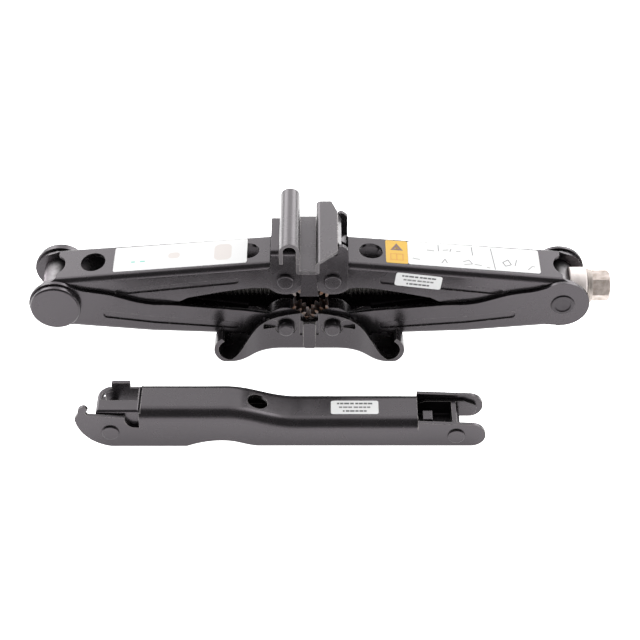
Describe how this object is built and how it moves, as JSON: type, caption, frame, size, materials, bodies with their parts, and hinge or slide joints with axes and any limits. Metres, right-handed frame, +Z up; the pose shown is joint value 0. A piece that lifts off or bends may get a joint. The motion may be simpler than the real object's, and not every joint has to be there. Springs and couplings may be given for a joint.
{
  "type": "car jack",
  "caption": "Folded scissor jack whose screw, turned by a folding crank handle, draws two pairs of geared arms together and lifts a slotted saddle.",
  "frame": {"origin": "on the ground under the middle of the foot", "axes": "+Z up, +X along the screw towards the drive hex, -Y towards the crank handle lying in front"},
  "size_m": [0.4024, 0.1549, 0.1034],
  "materials": {
    "black_paint": "semi-gloss black paint on pressed sheet steel",
    "trunnion_steel": "turned, satin",
    "screw_steel": "rolled thread, oiled dark",
    "collar_paint": "pale cream passivated finish",
    "bearing_steel": "ground",
    "washer_steel": "zinc plated, dull",
    "hex_steel": "worn, warm grey"
  },
  "bodies": {
    "base": {"base_plate": "black_paint", "base_pin_left": "black_paint", "base_pin_right": "black_paint"},
    "lower_left": {"lower_arm_left": "black_paint"},
    "lower_right": {"lower_arm_right": "black_paint"},
    "upper_left": {"upper_arm_left": "black_paint"},
    "upper_right": {"upper_arm_right": "black_paint"},
    "head": {"head_bracket": "black_paint", "saddle_rail": "black_paint", "head_pin_left": "black_paint", "head_pin_right": "black_paint"},
    "nut": {"nut_trunnion": "trunnion_steel", "nut_cap_front": "black_paint", "nut_cap_back": "black_paint"},
    "thrust": {"thrust_trunnion": "trunnion_steel", "bearing_collar": "collar_paint", "bearing_race_fixed": "bearing_steel", "bearing_balls": "bearing_steel"},
    "screw": {"lead_screw": "screw_steel", "bearing_race_turning": "bearing_steel", "drive_washer_large": "washer_steel", "drive_washer_small": "washer_steel", "drive_hex": "hex_steel"},
    "handle": {"handle_grip": "black_paint", "handle_socket_rivet": "black_paint", "handle_arm_rivet": "black_paint"},
    "socket": {"handle_socket": "black_paint"},
    "crank_arm": {"handle_arm": "black_paint"}
  },
  "joints": [
    {"name": "lift", "type": "hinge", "parent": "base", "child": "lower_left", "pos_m": [-0.0162, 0, 0.0209], "axis": [0, 1, 0], "range_deg": [0, 50]},
    {"name": "lower_right_swing", "type": "hinge", "parent": "base", "child": "lower_right", "pos_m": [0.0162, 0, 0.0209], "axis": [0, 1, 0], "range_deg": [-50, 0]},
    {"name": "upper_left_swing", "type": "hinge", "parent": "lower_left", "child": "upper_left", "pos_m": [-0.17488, 0, 0.0414], "axis": [0, 1, 0], "range_deg": [-100, 0]},
    {"name": "upper_right_swing", "type": "hinge", "parent": "lower_right", "child": "upper_right", "pos_m": [0.17488, 0, 0.0414], "axis": [0, 1, 0], "range_deg": [0, 100]},
    {"name": "head_level", "type": "hinge", "parent": "upper_left", "child": "head", "pos_m": [-0.0162, 0, 0.0619], "axis": [0, 1, 0], "range_deg": [0, 50]},
    {"name": "nut_level", "type": "hinge", "parent": "lower_left", "child": "nut", "pos_m": [-0.17488, 0, 0.0414], "axis": [0, 1, 0], "range_deg": [-50, 0]},
    {"name": "thrust_level", "type": "hinge", "parent": "lower_right", "child": "thrust", "pos_m": [0.17488, 0, 0.0414], "axis": [0, 1, 0], "range_deg": [0, 50]},
    {"name": "screw_turn", "type": "hinge", "parent": "thrust", "child": "screw", "pos_m": [0.17488, 0, 0.0414], "axis": [-1, 0, 0], "range_deg": [0, 17400]},
    {"name": "handle_lift", "type": "slide", "parent": "base", "child": "handle", "axis": [0, 0, 1], "range_m": [0, 0.2]},
    {"name": "handle_socket_swing", "type": "hinge", "parent": "handle", "child": "socket", "pos_m": [-0.1308, -0.10275, 0.0126], "axis": [0, -1, 0], "range_deg": [0, 90]},
    {"name": "handle_arm_unfold", "type": "hinge", "parent": "handle", "child": "crank_arm", "pos_m": [0.0975, -0.10275, 0.0095], "axis": [0, -1, 0], "range_deg": [0, 180]}
  ],
  "couplings": [
    {"joint": "lower_right_swing", "follows": "lift", "ratio": -1},
    {"joint": "upper_left_swing", "follows": "lift", "ratio": -2},
    {"joint": "upper_right_swing", "follows": "lift", "ratio": 2},
    {"joint": "head_level", "follows": "lift", "ratio": 1},
    {"joint": "nut_level", "follows": "lift", "ratio": -1},
    {"joint": "thrust_level", "follows": "lift", "ratio": 1},
    {"joint": "screw_turn", "follows": "lift", "ratio": 347.5}
  ]
}
